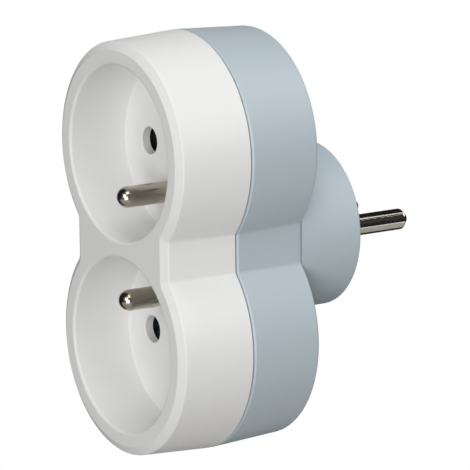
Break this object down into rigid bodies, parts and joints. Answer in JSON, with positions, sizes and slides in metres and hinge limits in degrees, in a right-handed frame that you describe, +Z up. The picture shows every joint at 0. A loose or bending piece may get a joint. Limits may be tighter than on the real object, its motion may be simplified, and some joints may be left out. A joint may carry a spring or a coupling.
{
  "type": "multi socket adapter",
  "caption": "Plug-in mains adapter: figure-eight case with round earthed socket wells, one above the other, shuttered contact holes and a round pin plug behind.",
  "frame": {"origin": "centre of the plug face, midway between the plug pins", "axes": "+Y out of the plug face along the plug pins into the wall socket, +Z up along the row of sockets, +X to the right seen from the sockets' side; the sockets face -Y"},
  "size_m": [0.052, 0.0718, 0.0954],
  "materials": {
    "cover_plastic": "fine satin white moulding",
    "housing_plastic": "fine satin pale blue-grey moulding",
    "carrier_plastic": "matt charcoal insulating plastic",
    "shutter_plastic": "matt dark plastic",
    "pin_nickel": "bright nickel plate on brass",
    "strip_brass": "plain rolled brass strip",
    "spring_steel": "plain spring steel",
    "screw_steel": "zinc plated steel"
  },
  "bodies": {
    "adapter": {"front_cover": "cover_plastic", "rear_housing": "housing_plastic", "contact_carrier": "carrier_plastic", "pin_retainer": "carrier_plastic", "earth_pin_upper": "pin_nickel", "earth_pin_lower": "pin_nickel", "plug_pin_left": "pin_nickel", "plug_pin_right": "pin_nickel", "live_busbar": "strip_brass", "neutral_busbar": "strip_brass", "earth_strip": "strip_brass", "jaw_spring_upper_left": "spring_steel", "jaw_spring_upper_right": "spring_steel", "jaw_spring_lower_left": "spring_steel", "jaw_spring_lower_right": "spring_steel", "earth_jaw_spring": "spring_steel", "shutter_spring_upper": "spring_steel", "shutter_spring_lower": "spring_steel", "case_screws": "screw_steel"},
    "upper_shutter": {"shutter_upper": "shutter_plastic"},
    "lower_shutter": {"shutter_lower": "shutter_plastic"}
  },
  "joints": [
    {"name": "upper_shutter_slide", "type": "slide", "parent": "adapter", "child": "upper_shutter", "axis": [0, 0, 1], "range_m": [0, 0.0069], "stiffness_N_per_m": 150, "springref_m": -0.003, "deforming": ["shutter_spring_upper"]},
    {"name": "lower_shutter_slide", "type": "slide", "parent": "adapter", "child": "lower_shutter", "axis": [0, 0, -1], "range_m": [0, 0.0069], "stiffness_N_per_m": 150, "springref_m": -0.003, "deforming": ["shutter_spring_lower"]}
  ]
}
